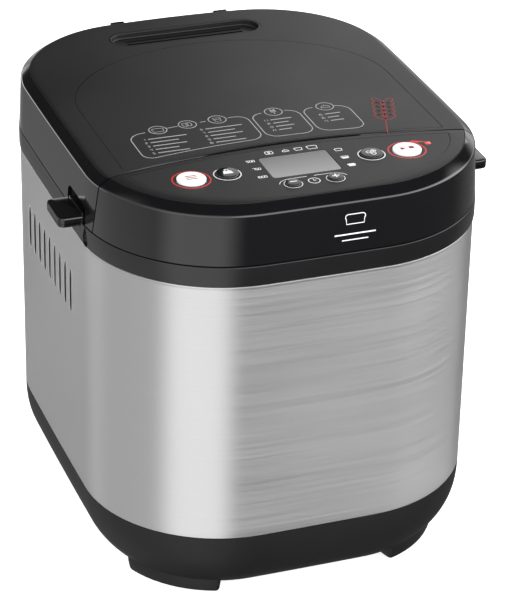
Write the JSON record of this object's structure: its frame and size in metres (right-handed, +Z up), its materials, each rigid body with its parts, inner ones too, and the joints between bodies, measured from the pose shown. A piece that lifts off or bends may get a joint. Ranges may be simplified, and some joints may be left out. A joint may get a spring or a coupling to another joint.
{
  "type": "bread machine",
  "caption": "Countertop bread machine: steel-wrapped body on a tapered base, rear-hinged lid with side tabs, front control panel, and a lift-out pan with a belt-driven paddle.",
  "frame": {"origin": "on the ground under the middle of the body", "axes": "+Z up, +Y towards the rear hinge, +X to the right as seen from the front"},
  "size_m": [0.302, 0.326, 0.2992],
  "materials": {
    "base_plastic": "fine-textured matte black",
    "rim_plastic": "satin black",
    "rubber": "matte black",
    "brushed_steel": "circumferential satin brushing",
    "zinc_steel": "zinc plated",
    "chamber_sheet": "aluminised sheet",
    "liner_sheet": "satin sheet",
    "element_sheath": "heat-darkened",
    "cast_alloy": "as cast",
    "brass": "plain",
    "ceramic_white": "matte",
    "motor_can": "painted grey",
    "pulley_plastic": "moulded",
    "white_plastic": "moulded",
    "circuit_board": "solder resist",
    "cable_sleeve": "soft sleeve",
    "pan_coating": "dark non-stick coating",
    "gloss_black": "high gloss black",
    "satin_grey": "satin dark grey",
    "printed_overlay": "satin film with pale printing",
    "display_window": "grey display window",
    "red_lens": "translucent red",
    "button_white": "gloss white",
    "button_black": "gloss black",
    "silicone": "pale silicone"
  },
  "bodies": {
    "root": {"base_tray": "base_plastic", "foot_pad_front_left": "rubber", "foot_pad_front_right": "rubber", "foot_pad_rear_left": "rubber", "foot_pad_rear_right": "rubber", "base_screw_1": "zinc_steel", "base_screw_2": "zinc_steel", "base_screw_3": "zinc_steel", "base_screw_4": "zinc_steel", "steel_wrap": "brushed_steel", "top_rim": "rim_plastic", "chassis_plate": "zinc_steel", "cord_gland": "rubber", "oven_chamber": "chamber_sheet", "heating_element": "element_sheath", "element_clip_left": "zinc_steel", "element_clip_right": "zinc_steel", "temperature_sensor": "brass", "thermal_fuse": "ceramic_white", "pan_clip_left": "zinc_steel", "pan_clip_right": "zinc_steel", "bearing_housing": "cast_alloy", "spindle_bush": "brass", "motor": "motor_can", "drive_belt": "rubber", "run_capacitor": "white_plastic", "power_board": "circuit_board", "display_harness": "cable_sleeve", "front_fascia": "gloss_black", "control_panel": "satin_grey", "panel_overlay": "printed_overlay", "lcd_window": "display_window", "lcd_module": "white_plastic", "indicator_lens": "red_lens", "control_board": "circuit_board", "hinge_pin_left": "zinc_steel", "hinge_pin_right": "zinc_steel"},
    "lid": {"lid_cover": "satin_grey", "lid_inlay": "printed_overlay", "lid_liner": "liner_sheet", "lid_seal": "silicone", "vent_grille": "rim_plastic", "lid_tab_left": "gloss_black", "lid_tab_right": "gloss_black"},
    "menu_cap": {"menu_button": "button_white"},
    "weight_cap": {"weight_button": "button_black"},
    "minus_cap": {"minus_button": "button_black"},
    "plus_cap": {"plus_button": "button_black"},
    "crust_cap": {"crust_button": "button_black"},
    "start_stop_cap": {"start_stop_button": "button_white"},
    "pan": {"bread_pan": "pan_coating", "pan_socket": "cast_alloy"},
    "bail": {"pan_handle": "zinc_steel"},
    "paddle": {"paddle_shaft": "zinc_steel", "kneading_paddle": "pan_coating"},
    "spindle": {"drive_spindle": "zinc_steel", "driven_pulley": "pulley_plastic"},
    "rotor": {"motor_shaft": "zinc_steel", "motor_pulley": "pulley_plastic"}
  },
  "joints": [
    {"name": "lid_hinge", "type": "hinge", "parent": "root", "child": "lid", "pos_m": [0, 0.1585, 0.264], "axis": [-1, 0, 0], "range_deg": [0, 95]},
    {"name": "menu_press", "type": "slide", "parent": "root", "child": "menu_cap", "axis": [0, 0, -1], "range_m": [0, 0.001], "stiffness_N_per_m": 800, "springref_m": -0.0005},
    {"name": "weight_press", "type": "slide", "parent": "root", "child": "weight_cap", "axis": [0, 0, -1], "range_m": [0, 0.001], "stiffness_N_per_m": 800, "springref_m": -0.0005},
    {"name": "minus_press", "type": "slide", "parent": "root", "child": "minus_cap", "axis": [0, 0, -1], "range_m": [0, 0.001], "stiffness_N_per_m": 800, "springref_m": -0.0005},
    {"name": "plus_press", "type": "slide", "parent": "root", "child": "plus_cap", "axis": [0, 0, -1], "range_m": [0, 0.001], "stiffness_N_per_m": 800, "springref_m": -0.0005},
    {"name": "crust_press", "type": "slide", "parent": "root", "child": "crust_cap", "axis": [0, 0, -1], "range_m": [0, 0.001], "stiffness_N_per_m": 800, "springref_m": -0.0005},
    {"name": "start_stop_press", "type": "slide", "parent": "root", "child": "start_stop_cap", "axis": [0, 0, -1], "range_m": [0, 0.001], "stiffness_N_per_m": 800, "springref_m": -0.0005},
    {"name": "pan_lift", "type": "slide", "parent": "root", "child": "pan", "axis": [0, 0, 1], "range_m": [0, 0.03]},
    {"name": "bail_swing", "type": "hinge", "parent": "pan", "child": "bail", "pos_m": [0, 0.034, 0.2425], "axis": [1, 0, 0], "range_deg": [0, 35]},
    {"name": "spindle_spin", "type": "hinge", "parent": "root", "child": "spindle", "pos_m": [0, 0.034, 0.05], "axis": [0, 0, 1], "continuous": true},
    {"name": "paddle_spin", "type": "hinge", "parent": "pan", "child": "paddle", "pos_m": [0, 0.034, 0.1], "axis": [0, 0, 1], "continuous": true},
    {"name": "rotor_spin", "type": "hinge", "parent": "root", "child": "rotor", "pos_m": [0, -0.115, 0.04], "axis": [0, 0, 1], "continuous": true}
  ],
  "couplings": [
    {"joint": "paddle_spin", "follows": "spindle_spin", "ratio": 1},
    {"joint": "rotor_spin", "follows": "spindle_spin", "ratio": 5.565}
  ]
}
